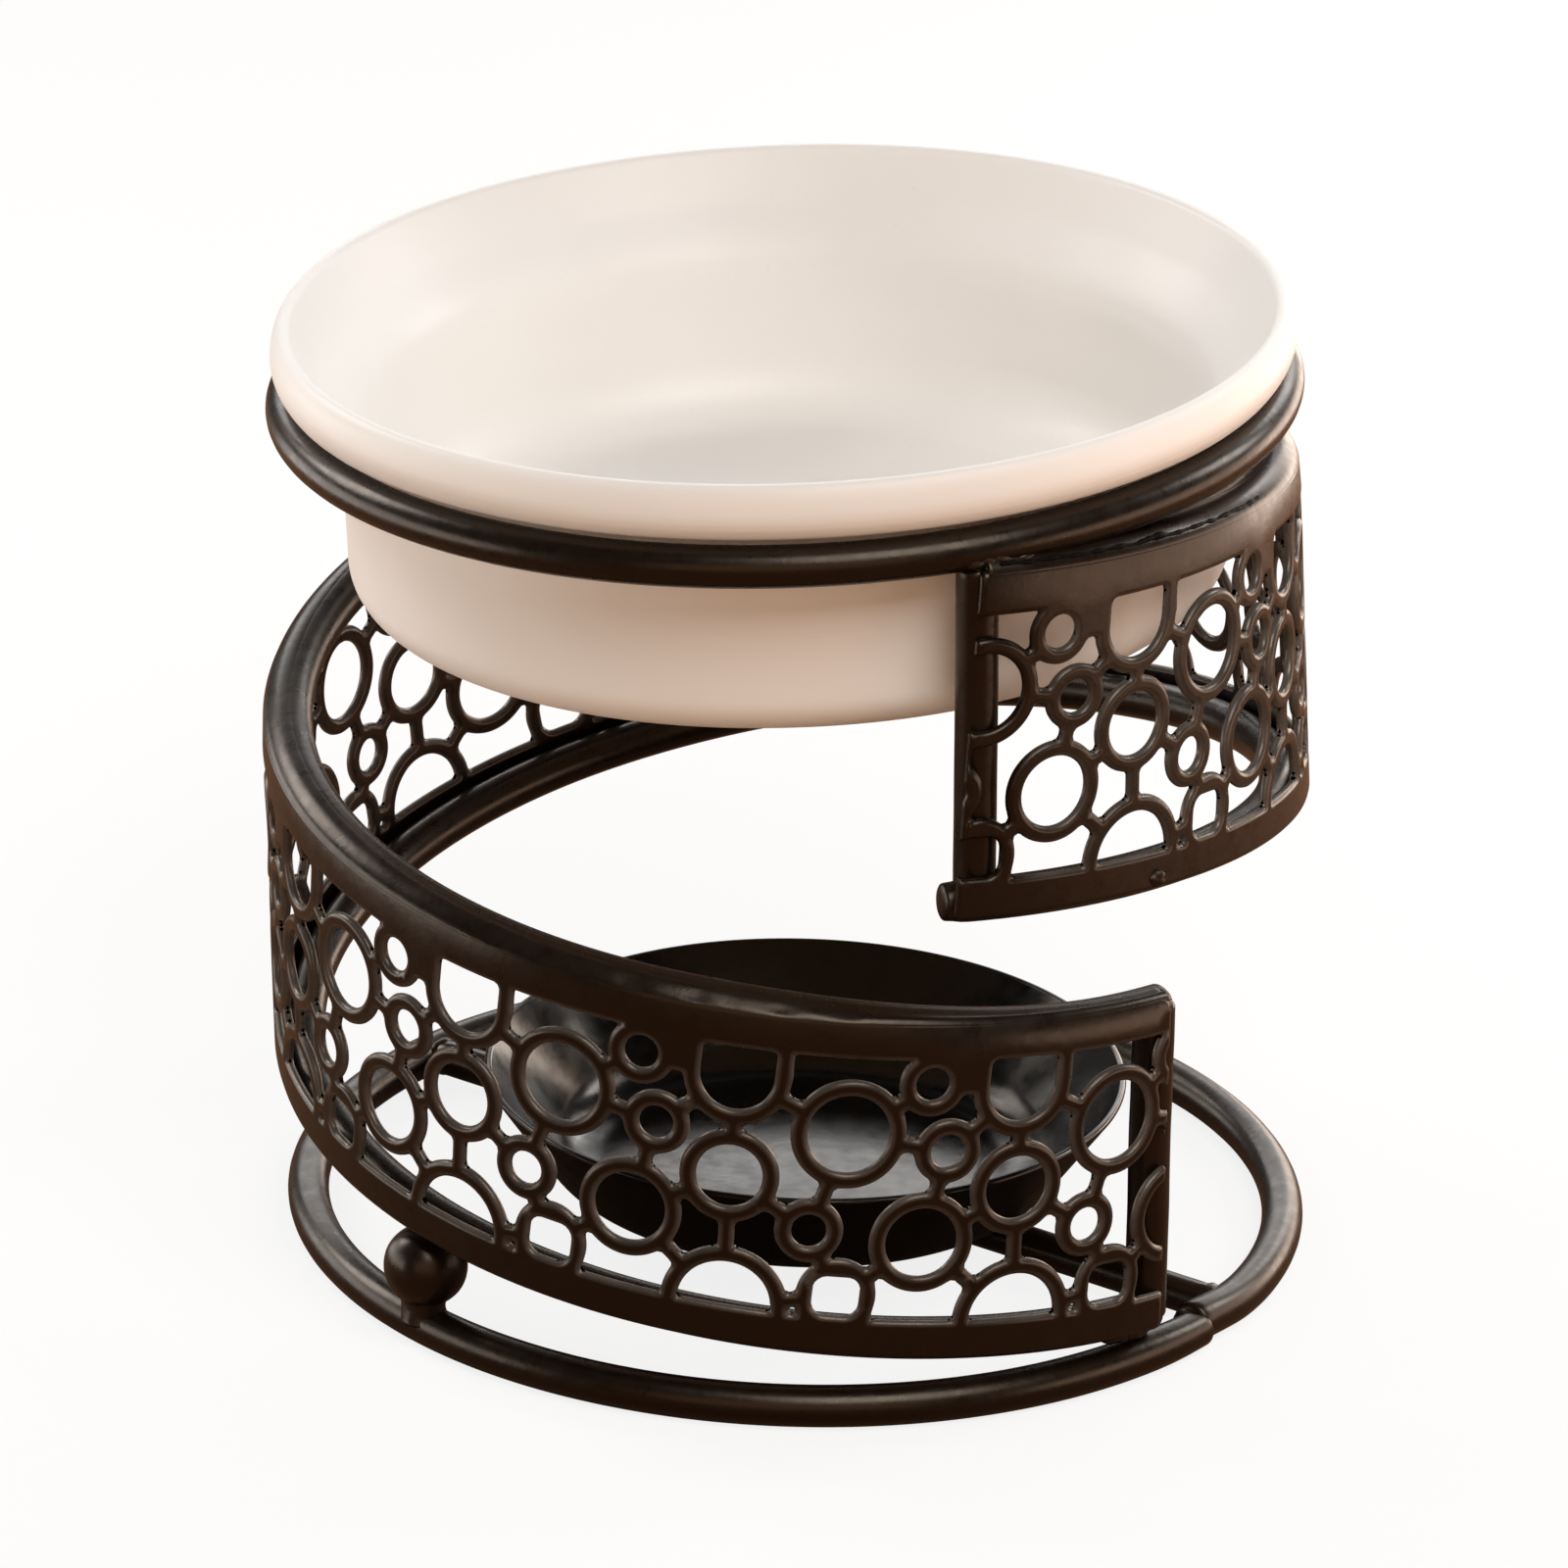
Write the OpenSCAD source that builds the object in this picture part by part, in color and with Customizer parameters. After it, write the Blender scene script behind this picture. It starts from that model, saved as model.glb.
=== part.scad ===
// Essential oil burner: a ceramic bowl in a wire ring, carried by a spiral strip of
// bubble filigree that climbs from a base ring, over a dish for a tealight.
// Millimetres, +Z up, table at Z = 0, front at -Y.

/* [Wire frame] */
// Diameter of the round wire of the rings, the strip's edges and the end posts
wire_d = 5; // [4.6:0.1:5.2]
// Outside diameter of the base ring
base_ring_d = 124; // [120:1:128]
// Depth of the flat on the base ring's underside
base_flat = 0.15; // [0.1:0.05:0.4]
// Sideways offset of the base ring from the middle of the whole object
base_x = 2; // [0:0.1:4]
// Diameter of the thinner wire under the dish
bar_d = 4.4; // [4:0.1:4.8]
// Direction of the cross bar, seen from above, from +X
bar_angle = -34.5; // [-40:0.5:-30]
// Distance of the cross bar behind the base ring's centre
bar_offset = 4.5; // [0:0.5:8]
// Diameter of the ball between base ring and strip
ball_d = 10; // [9:0.2:11]
// Direction of the ball, from +X
ball_angle = -137; // [-145:1:-130]

/* [Spiral strip] */
// Outside diameter of the strip's turn
strip_d = 125.4; // [124:0.2:127]
// Height of the strip, measured upright
strip_h = 42.8; // [40:0.2:45]
// Thickness of the sheet
strip_t = 1.2; // [0.8:0.1:1.5]
// Direction of the lower end, clockwise from +X seen from above
strip_start = 46; // [40:1:50]
// Angle that the strip turns through
strip_sweep = 385.4; // [370:0.2:390]
// Climb of the strip from its lower to its upper end
strip_rise = 58.7; // [56:0.1:61]
// Steepness at the lower end, as climb per full sweep
climb_start = 49; // [40:1:60]
// Steepness at the upper end, as climb per full sweep
climb_end = 32; // [25:1:45]
// Height of the lower end's bottom corner over the base ring's top
strip_low = -0.2; // [-0.4:0.1:1]
// Lean of the spiral to the left
strip_lean = 2.7; // [0:0.1:3.5]

/* [Filigree] */
// Length of one repeat of the bubble pattern along the strip
cell_len = 34.66; // [34:0.02:35.4]
// Place of the first large bubble along the strip
first_bubble = 7.2; // [4:0.2:10]
// Width of a bubble's wall
bubble_wall = 2; // [1.6:0.1:2.2]
// Width of the short struts
strut_w = 1.9; // [1.4:0.1:2.2]
// Height of the plain bottom border
bottom_border = 4.75; // [4:0.25:5.5]
// Height of the plain top border
top_border = 4.9; // [4:0.1:5.5]

/* [Bowl and its ring] */
// Diameter of the bowl ring at the middle of its wire
bowl_ring_d = 117.8; // [117:0.2:118.4]
// Height of the bowl ring's centre over the table
seat_z = 107.1; // [106:0.1:109]
// Sideways place of the bowl ring's centre from the base ring's centre
seat_x = -4.4; // [-5:0.1:0]
// Lean of the bowl ring and the bowl to the left
seat_lean = 3.4; // [2.8:0.1:4]
// Outside diameter of the bowl's rim
rim_d = 121.2; // [120:0.2:123]
// Height of the rim over the bowl ring's centre
rim_h = 9.8; // [9:0.2:11]
// Outside diameter of the bowl's body
body_d = 105; // [103:0.2:106]
// Depth of the bowl's underside below the ring's centre
body_depth = 24; // [22:0.5:26]
// Wall of the bowl
bowl_wall = 3.2; // [2.8:0.1:3.6]
// Thickness of the bowl's lip, where the wall thins out
rim_lip = 2.2; // [1.6:0.1:3]

/* [Candle dish] */
// Diameter of the dish at its rim
dish_rim_d = 78; // [72:0.5:80]
// Diameter of the dish's flat floor
dish_floor_d = 48.6; // [46:0.2:50]
// Outside radius of the bend from the floor to the wall
dish_bend = 9.3; // [8.5:0.1:10]
// Height of the dish
dish_h = 14.7; // [12:0.1:17]
// Thickness of the dish's sheet
dish_t = 1; // [0.8:0.1:1.2]

/* [Hidden] */

PAINT = "#352722";
DISH_PAINT = "#24211f";
GLAZE = "#f3efe9";
WELD = "#2c201c";

wire_r = wire_d / 2;
base_ring_r = base_ring_d / 2 - wire_r;
base_ring_z = wire_r - base_flat;
ring_top = wire_d - base_flat;

// The strip's flat sheet: u runs round the turn, h is the height over the base ring's top
strip_r = strip_d / 2;
turn_len = strip_sweep * PI / 180 * strip_r;
sheet_len = sqrt(turn_len * turn_len + strip_rise * strip_rise);
// Square to its edges the strip is a little narrower than upright
sheet_w = strip_h * cos(atan(strip_rise / turn_len));
open_h = sheet_w - bottom_border - top_border;
edge_steps = 78;
lean_x = -0.2;

// Wires of the strip lie inside the sheet
edge_wire_r = strip_r - strip_t - wire_r + 0.15;
edge_wire_low = 1.2;
edge_wire_high = strip_h - 1.5;
wire_sides = 12;
wire_rings = 66;
// Turn angles of the posts' feet and heads, and of the wires' ends: at both ends the top lies a little back
lower_post = [-1, -2.8];
upper_post = [strip_sweep - 3.5, strip_sweep - 4.4];
top_wire = [-3.4, strip_sweep - 4.2];
bottom_wire = [-1.6, strip_sweep + 0.5];
// Turn angles of the sheet's corners at its lower and upper end, bottom and top
lower_corners = [-0.4, -2.4];
upper_corners = [strip_sweep, strip_sweep - 3.6];

// Bubbles of one repeat: place along the strip, height on the sheet, radius of the hole
LARGE = [0, 28, 4.85];
TOP_SMALL = [-9.3, 34.6, 2.05];
MID_SMALL = [-12.1, 26.2, 2.05];
HANGING = [-20.85, 34, 4.4];
MIDDLE = [-21.4, 21.2, 3.9];
LOW = [-10.2, 14.7, 4.3];
LOW_SMALL = [3.25, 15.5, 2.05];
DOME = [-22.6, bottom_border, 5.5];
FOOT_SMALL = [-0.85, 7.6, 2.7];
BUBBLES = [LARGE, TOP_SMALL, MID_SMALL, HANGING, MIDDLE, LOW, LOW_SMALL, DOME, FOOT_SMALL];
// Gaps between the bubbles: the bubbles round each, with the repeat each is in, and the border it meets
GAPS = [
    [[[TOP_SMALL, 0], [LARGE, 0], [HANGING, 1]], "top"],
    [[[TOP_SMALL, 0], [HANGING, 0], [MID_SMALL, 0], [LARGE, 0]], "none"],
    [[[MID_SMALL, 0], [HANGING, 0], [MIDDLE, 0], [LOW, 0]], "none"],
    [[[LARGE, 0], [MID_SMALL, 0], [LOW, 0], [FOOT_SMALL, 0], [LOW_SMALL, 0]], "none"],
    [[[LARGE, 0], [LOW_SMALL, 0], [MIDDLE, 1], [HANGING, 1]], "none"],
    [[[MIDDLE, 1], [LOW_SMALL, 0], [FOOT_SMALL, 0], [DOME, 1]], "none"],
    [[[MIDDLE, 0], [DOME, 0], [LOW, 0]], "none"],
    [[[DOME, 0], [LOW, 0], [FOOT_SMALL, 0]], "bottom"]];

// Bowl profile, measured from the ring's centre
rim_r = rim_d / 2;
body_r = body_d / 2;
lip_r = rim_lip / 2;
body_round = 5;
flare_low = -4;
inner_round = 8;
inner_r = body_r - bowl_wall - 0.6;
shoulder_low = [body_r + 1.8, 0.6];
shoulder_over_ring = [bowl_ring_d / 2 - 1.2, wire_r + 0.05];
shoulder_high = [rim_r - 0.5, wire_r + 2.2];

// Place of the dish's middle from the base ring's centre, and height of the bar that carries it
dish_x = 0.7;
dish_y = -0.8;
dish_z = base_ring_z + bar_d / 2 + 0.35;
bar_z = base_ring_z + 0.35;
seat_clear = 0.05;
ball_lift = 0.2;

// Climb of the strip's bottom edge at t, from 0 at the lower end to 1 at the upper end
function rise(t) = strip_low + strip_rise * (3 * t * t - 2 * t * t * t)
    + climb_start * (t * t * t - 2 * t * t + t) + climb_end * (t * t * t - t * t);
function climb(t) = strip_rise * (6 * t - 6 * t * t)
    + climb_start * (3 * t * t - 4 * t + 1) + climb_end * (3 * t * t - 2 * t);
function slope(t) = atan(climb(t) / turn_len);
function turn_angle(turn) = -(strip_start + turn);

// Points of a circular arc in the plane of a profile
function arc(centre, r, from, to, steps) =
    [for (i = [0 : steps]) let (f = from + (to - from) * i / steps) centre + r * [cos(f), sin(f)]];

// A point beside the strip: turn in degrees from the lower end, radius, height over the bottom edge
function beside_strip(turn, r, v) =
    [r * cos(turn_angle(turn)), r * sin(turn_angle(turn)), rise(turn / strip_sweep) + v];

// One ring of a wire that follows the strip
function wire_section(turn, r, v) =
    let (a = turn_angle(turn), s = slope(turn / strip_sweep), c = beside_strip(turn, r, v),
        out = [cos(a), sin(a), 0], up = [-sin(s) * sin(a), sin(s) * cos(a), cos(s)])
    [for (k = [0 : wire_sides - 1]) let (f = k * 360 / wire_sides) c + wire_r * (cos(f) * out + sin(f) * up)];

module on_base() {
    translate([base_x, 0, 0]) children();
}

module leaned() {
    translate([base_x + lean_x, 0, ring_top]) rotate([0, -strip_lean, 0]) children();
}

module in_seat() {
    translate([base_x + seat_x, 0, seat_z]) rotate([0, -seat_lean, 0]) children();
}

// Wire along the strip from one turn angle to another, as a swept tube
module edge_wire(from, to, v) {
    rings = [for (i = [0 : wire_rings - 1])
        wire_section(from + (to - from) * i / (wire_rings - 1), edge_wire_r, v)];
    points = [for (ring = rings) each ring];
    sides = [for (i = [0 : wire_rings - 2], k = [0 : wire_sides - 1])
        let (n = (k + 1) % wire_sides, a = i * wire_sides, b = a + wire_sides)
        each [[a + k, b + n, a + n], [a + k, b + k, b + n]]];
    first = [for (k = [1 : wire_sides - 2]) [0, k, k + 1]];
    top = (wire_rings - 1) * wire_sides;
    last = [for (k = [1 : wire_sides - 2]) [top, top + k + 1, top + k]];
    polyhedron(points, concat(sides, first, last));
}

// Upright wire beside the strip, between its two edge wires
module end_post(turns) {
    foot = beside_strip(turns[0], edge_wire_r, edge_wire_low);
    way = beside_strip(turns[1], edge_wire_r, edge_wire_high) - foot;
    translate(foot) rotate([0, acos(way[2] / norm(way)), atan2(way[1], way[0])])
        cylinder(r = wire_r, h = norm(way), $fn = 48);
}

function middle(corner) = [corner[0][0] + corner[1] * cell_len, corner[0][1]];
function mean(points) = [for (k = [0, 1]) [for (p = points) p[k]] * [for (p = points) 1] / len(points)];

module strut(from, to) {
    way = to - from;
    translate(from) rotate(atan2(way[1], way[0])) translate([0, -strut_w / 2]) square([norm(way), strut_w]);
}

// Outline of one gap: the polygon through its bubbles' middles, less the bubbles and the struts
module gap_shape(corners, border) {
    middles = [for (c = corners) middle(c)];
    last = len(middles) - 1;
    border_b = border == "top" ? bottom_border + open_h : bottom_border;
    edge = border == "none" ? [] : [[middles[last][0], border_b], [middles[0][0], border_b]];
    difference() {
        polygon(concat(middles, edge));
        for (c = corners) translate(middle(c)) circle(r = c[0][2] + bubble_wall, $fn = 48);
        for (i = [0 : last - 1]) strut(middles[i], middles[i + 1]);
        if (border == "none") strut(middles[last], middles[0]);
    }
}

// Hole of one bubble, cut off at the borders
module bubble_hole(b) {
    intersection() {
        circle(r = b[2], $fn = 48);
        translate([-2 * b[2], bottom_border - b[1]]) square([4 * b[2], open_h]);
    }
}

// Cuts a flat shape square through the rolled sheet at place a along it and b up it
module through_sheet(a, b) {
    t = a / sheet_len;
    lift = b - sheet_w / 2;
    turn = t * strip_sweep - lift * sin(slope(t)) / strip_r * 180 / PI;
    through = strip_t + 4;
    rotate([0, 0, turn_angle(turn) - 90])
        translate([0, strip_r + 2, rise(t) + strip_h / 2 + lift * cos(slope(t))])
            rotate([90, 0, 0])
                linear_extrude(through) rotate(slope(t)) children();
}

// Solid ribbon that follows the climb, wider than the sheet is thick
module ribbon() {
    low = strip_r - strip_t - 1.5;
    high = strip_r + 3;
    points = [for (i = [0 : edge_steps])
        let (turns = lower_corners + (upper_corners - lower_corners) * i / edge_steps)
        each [beside_strip(turns[0], low, 0), beside_strip(turns[0], high, 0),
            beside_strip(turns[1], high, strip_h), beside_strip(turns[1], low, strip_h)]];
    sides = [for (i = [0 : edge_steps - 1], k = [0 : 3])
        let (n = (k + 1) % 4, a = 4 * i, b = a + 4)
        each [[a + k, b + n, a + n], [a + k, b + k, b + n]]];
    top = 4 * edge_steps;
    ends = [[0, 1, 2], [0, 2, 3], [top, top + 2, top + 1], [top, top + 3, top + 2]];
    polyhedron(points, concat(sides, ends));
}

// Bowl outline, closed: outside from the foot over the ring to the lip, then down the inside
function bowl_outline() = concat(
    [[0, -body_depth]],
    arc([body_r - body_round, -body_depth + body_round], body_round, -90, 0, 8),
    [[body_r + 0.4, flare_low + 0.5], shoulder_low, shoulder_over_ring, shoulder_high],
    arc([rim_r - lip_r, rim_h - lip_r], lip_r, -30, 150, 10),
    [[body_r - bowl_wall + 0.9, flare_low + 1.2]],
    arc([inner_r - inner_round, -body_depth + bowl_wall + inner_round], inner_round, 0, -90, 8),
    [[0, -body_depth + bowl_wall]]);

module ceramic_bowl() {
    color(GLAZE) in_seat() translate([0, 0, seat_clear]) rotate_extrude($fn = 96) polygon(bowl_outline());
}

module bowl_ring() {
    color(PAINT) in_seat() rotate_extrude($fn = 96)
        translate([bowl_ring_d / 2, 0]) circle(r = wire_r, $fn = 32);
}

// Rolled sheet with its edges along the climb
module plain_strip() {
    intersection() {
        rotate_extrude($fn = 96)
            translate([strip_r - strip_t, -2]) square([strip_t, strip_rise + strip_h + 6]);
        ribbon();
    }
}

module filigree_strip() {
    repeats = [for (n = [0 : ceil(sheet_len / cell_len)]) first_bubble + n * cell_len];
    color(PAINT) leaned() difference() {
        difference() {
            plain_strip();
            for (place = repeats, b = BUBBLES)
                if (place + b[0] > -b[2] && place + b[0] < sheet_len + b[2])
                    through_sheet(place + b[0], b[1]) bubble_hole(b);
        }
        for (place = repeats, g = GAPS) {
            centre = mean([for (c = g[0]) middle(c)]);
            if (place + centre[0] > -8 && place + centre[0] < sheet_len + 8)
                through_sheet(place + centre[0], centre[1]) translate(-centre) gap_shape(g[0], g[1]);
        }
    }
}

module strip_top_wire() {
    color(PAINT) leaned() edge_wire(top_wire[0], top_wire[1], edge_wire_high);
}

module strip_bottom_wire() {
    color(PAINT) leaned() edge_wire(bottom_wire[0], bottom_wire[1], edge_wire_low);
}

module lower_end_post() {
    color(PAINT) leaned() end_post(lower_post);
}

module upper_end_post() {
    color(PAINT) leaned() end_post(upper_post);
}

module base_ring() {
    color(PAINT) on_base() rotate_extrude($fn = 96) intersection() {
        translate([base_ring_r, base_ring_z]) circle(r = wire_r, $fn = 32);
        translate([base_ring_r - wire_d, 0]) square([2 * wire_d, 2 * wire_d]);
    }
}

// Swollen seam where the base ring's ends meet, beside the cross bar's end
module base_ring_weld() {
    seam_r = wire_r + 0.35;
    seam_angle = 5;
    color(WELD) on_base() rotate([0, 0, bar_angle - seam_angle])
        rotate_extrude(angle = seam_angle, $fn = 96) intersection() {
            translate([base_ring_r, base_ring_z]) circle(r = seam_r, $fn = 32);
            translate([base_ring_r - wire_d, base_flat]) square([2 * wire_d, 2 * wire_d]);
        }
}

// Half the length of a chord of the base ring's middle line at the bar's offset
bar_half = sqrt(base_ring_r * base_ring_r - bar_offset * bar_offset) - wire_r + 0.5;

module along_bar() {
    on_base() rotate([0, 0, bar_angle]) translate([0, bar_offset, bar_z]) children();
}

module cross_bar() {
    color(PAINT) along_bar() translate([-bar_half, 0, 0]) rotate([0, 90, 0])
        cylinder(d = bar_d, h = 2 * bar_half, $fn = 48);
}

module cross_bar_welds() {
    color(WELD) along_bar() for (side = [-1, 1])
        translate([side * bar_half, 0, 0]) sphere(d = bar_d + 0.6, $fn = 32);
}

// Dish of one sheet: flat floor, wide bend, flared wall
module candle_dish() {
    floor_r = dish_floor_d / 2;
    rim_out = dish_rim_d / 2;
    lip = dish_t / 2;
    // Direction square to the wall's outside, from level
    wall_normal = -35;
    outline = concat(
        [[0, 0]],
        arc([floor_r, dish_bend], dish_bend, -90, wall_normal, 8),
        arc([rim_out - lip, dish_h - lip], lip, wall_normal, wall_normal + 180, 8),
        arc([floor_r, dish_bend], dish_bend - dish_t, wall_normal, -90, 8),
        [[0, dish_t]]);
    color(DISH_PAINT) on_base() translate([dish_x, dish_y, dish_z]) rotate_extrude($fn = 96) polygon(outline);
}

module dish_tack_welds() {
    tack_reach = 0.9 * dish_floor_d / 2;
    color(WELD) along_bar() for (side = [-1, 1])
        translate([side * tack_reach, 0, bar_d / 2 - 0.4]) sphere(d = 2.4, $fn = 24);
}

module at_ball() {
    on_base() rotate([0, 0, ball_angle])
        translate([base_ring_r, 0, ring_top + ball_lift + ball_d / 2]) children();
}

module spacer_ball() {
    color(PAINT) at_ball() sphere(d = ball_d, $fn = 64);
}

module spacer_ball_weld() {
    neck_r = 0.28 * ball_d;
    color(WELD) at_ball() translate([0, 0, -ball_d / 2 - wire_r / 2])
        cylinder(r = neck_r, h = wire_r, $fn = 32);
}

// Bead between the bowl ring's underside and the strip's top wire at the upper end
module bowl_ring_weld() {
    bead_angle = 9;
    color(WELD) in_seat() rotate([0, 0, turn_angle(strip_sweep - 5)])
        rotate_extrude(angle = bead_angle, $fn = 96)
            translate([bowl_ring_d / 2 + 0.8, -wire_r]) circle(r = 1.3, $fn = 24);
}

// Bead between the strip's lower corner and the base ring's top
module strip_foot_weld() {
    bead_angle = 7;
    color(WELD) on_base() rotate([0, 0, turn_angle(bead_angle)])
        rotate_extrude(angle = bead_angle, $fn = 96)
            translate([base_ring_r + 1.8, ring_top + 0.4]) circle(r = 1.5, $fn = 24);
}

// Nub of weld on the bottom border, near the upper end
module strip_tack_weld() {
    tack_turn = 360.3;
    color(WELD) leaned() translate(beside_strip(tack_turn, strip_r - 0.5, 1.6)) sphere(r = 1.1, $fn = 24);
}

ceramic_bowl();
bowl_ring();
filigree_strip();
strip_top_wire();
strip_bottom_wire();
lower_end_post();
upper_end_post();
base_ring();
base_ring_weld();
cross_bar();
cross_bar_welds();
candle_dish();
dish_tack_welds();
spacer_ball();
spacer_ball_weld();
bowl_ring_weld();
strip_foot_weld();
strip_tack_weld();
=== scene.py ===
"""Looks of the essential oil burner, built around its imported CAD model.

Lengths are written in millimetres, as in the CAD source, and turned into metres when a mesh is made.
"""
import math
import bpy
import numpy as np
from mathutils import Matrix, Vector
from mathutils.geometry import delaunay_2d_cdt


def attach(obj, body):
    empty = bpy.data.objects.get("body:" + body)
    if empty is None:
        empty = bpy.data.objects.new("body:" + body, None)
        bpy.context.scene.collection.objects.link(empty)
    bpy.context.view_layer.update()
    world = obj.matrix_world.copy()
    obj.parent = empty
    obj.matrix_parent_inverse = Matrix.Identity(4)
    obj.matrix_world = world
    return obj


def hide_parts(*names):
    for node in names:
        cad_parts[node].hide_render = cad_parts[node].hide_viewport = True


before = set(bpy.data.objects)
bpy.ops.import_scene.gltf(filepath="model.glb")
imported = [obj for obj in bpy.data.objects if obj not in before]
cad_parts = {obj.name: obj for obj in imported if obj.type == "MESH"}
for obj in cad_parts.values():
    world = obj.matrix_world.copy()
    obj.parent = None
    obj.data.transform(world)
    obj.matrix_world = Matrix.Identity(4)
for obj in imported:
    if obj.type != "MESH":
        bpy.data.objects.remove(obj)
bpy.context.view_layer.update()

# Sizes, the same as in the CAD source

WIRE = 2.5                                  # radius of the frame's wire
BASE_X = 2.0                                # base ring's centre from the middle of the object
BASE_R, BASE_Z = 59.5, 2.4
RING_TOP = 4.85
STRIP_R, STRIP_T, STRIP_H = 62.7, 1.2, 42.8
START, SWEEP = 46.0, 385.4                  # strip's lower end and turn, degrees clockwise from +X
LOW, RISE = -0.2, 58.7                      # its bottom edge's start and climb over the base ring
CLIMB_START, CLIMB_END = 49.0, 32.0         # how steep the climb is at the ends, per full sweep
LEAN = math.radians(2.7)
SPIRAL = (BASE_X - 0.2, 0.0, RING_TOP)      # foot of the spiral's leaning axis
EDGE_R = STRIP_R - STRIP_T - WIRE + 0.15    # radius at which the wires along the strip run
EDGE_LOW, EDGE_HIGH = 1.2, STRIP_H - 1.5    # their heights over the strip's bottom edge
SEAT = (BASE_X - 4.4, 0.0, 107.1)           # centre of the bowl's ring
SEAT_LEAN = math.radians(3.4)
BOWL_RING_R = 58.9
CELL, FIRST = 34.66, 7.2                    # filigree's repeat, and where its first cell lies
BORDER_LOW, BORDER_TOP = 4.75, 4.9
BALL_R, BALL_ANGLE = 5.0, -137.0
BAR_R, BAR_ANGLE, BAR_OFFSET, BAR_Z = 2.2, -34.5, 4.5, 2.7
DISH = (BASE_X + 0.7, -0.8, 4.9)            # middle of the dish's underside

# Turns from the strip's lower end, in degrees: posts and sheet ends at bottom and top, wires at both ends

LOWER_POST, UPPER_POST = (-1.0, -2.8), (SWEEP - 3.5, SWEEP - 4.4)
LOWER_END, UPPER_END = (-0.4, -2.4), (SWEEP, SWEEP - 3.6)
TOP_WIRE, BOTTOM_WIRE = (-3.4, SWEEP - 4.2), (-1.6, SWEEP + 0.1)

TURN_LEN = math.radians(SWEEP) * STRIP_R
SHEET_LEN = math.hypot(TURN_LEN, RISE)
SHEET_W = STRIP_H * math.cos(math.atan(RISE / TURN_LEN))


# Mesh helpers

def piece(name, points, faces, material, body="stand", slot="satin_paint", stands_for=(),
          normals=None, edge=None):
    """Makes one mesh object from points in millimetres, riding on a body.

    Normals, and how much the paint is rubbed, may be given per point.
    """
    mesh = bpy.data.meshes.new(name)
    metres = np.asarray(points, float) * 0.001
    mesh.from_pydata(metres.tolist(), [], [list(map(int, face)) for face in faces])
    mesh.update()
    mesh.polygons.foreach_set("use_smooth", [True] * len(mesh.polygons))
    if normals is not None:
        mesh.normals_split_custom_set_from_vertices(normals.tolist())
    if edge is not None:
        layer = mesh.attributes.new("edge", "FLOAT", "POINT")
        layer.data.foreach_set("value", np.asarray(edge, np.float32))
    mesh.materials.append(material)
    obj = bpy.data.objects.new(name, mesh)
    bpy.context.scene.collection.objects.link(obj)
    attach(obj, body)
    if stands_for:
        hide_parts(*stands_for)
    return obj


def quads(rows, columns, rows_close=False, columns_close=True, flip=False):
    """Faces of a grid of points, listed row by row; what closes runs on from its last point to its first."""
    faces = []
    for i in range(rows if rows_close else rows - 1):
        here, there = i * columns, (i + 1) % rows * columns
        for k in range(columns if columns_close else columns - 1):
            m = (k + 1) % columns
            if flip:
                faces.append((here + k, there + k, there + m, here + m))
            else:
                faces.append((here + k, here + m, there + m, there + k))
    return faces


def capped(rows, columns):
    """Faces of a grid whose columns close, with a flat face on its first and last row."""
    first = tuple(range(columns))[::-1]
    last = tuple((rows - 1) * columns + k for k in range(columns))
    return quads(rows, columns) + [first, last]


def waves(x, seed, low=1, count=5):
    """A smooth, repeatable ripple of about unit size over x in radians."""
    rng = np.random.default_rng(seed)
    x = np.asarray(x, float)
    out = np.zeros_like(x)
    for k in range(count):
        height = rng.uniform(0.5, 1.0) / (k + 1)
        out = out + height * np.sin((low + k) * x + rng.uniform(0, 6.28))
    return out


def ease(x, low, high):
    """Rises smoothly from 0 at low to 1 at high."""
    t = np.clip((np.asarray(x, float) - low) / (high - low), 0, 1)
    return t * t * (3 - 2 * t)


def tube(path, across, up, radius, sides=28, tips=(1.0, 1.0), tip_rings=6):
    """A round wire along a path; across and up are unit vectors per point, tips how far its ends bulge."""
    path = np.asarray(path, float)
    radius = np.broadcast_to(np.asarray(radius, float), (len(path),))
    along = np.gradient(path, axis=0)
    along /= np.linalg.norm(along, axis=1)[:, None]
    bulge = (-along[0] * radius[0] * tips[0], along[-1] * radius[-1] * tips[1])
    bend = math.pi / 2 * np.arange(1, tip_rings) / tip_rings
    centres = np.vstack([path[0] + np.sin(bend)[::-1, None] * bulge[0], path,
                         path[-1] + np.sin(bend)[:, None] * bulge[1]])
    radii = np.r_[radius[0] * np.cos(bend)[::-1], radius, radius[-1] * np.cos(bend)]
    more = ((tip_rings - 1, tip_rings - 1), (0, 0))
    across, up = (np.pad(np.asarray(a, float), more, mode="edge")[:, None, :] for a in (across, up))
    turn = (np.arange(sides) * 2 * math.pi / sides)[None, :, None]
    ring = np.cos(turn) * across + np.sin(turn) * up
    points = (centres[:, None, :] + radii[:, None, None] * ring).reshape(-1, 3)
    faces = quads(len(centres), sides)
    start, first, last = len(points) - sides, len(points), len(points) + 1
    for k in range(sides):
        m = (k + 1) % sides
        faces.append((first, m, k))
        faces.append((last, start + k, start + m))
    return np.vstack([points, path[0] + bulge[0], path[-1] + bulge[1]]), faces


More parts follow.
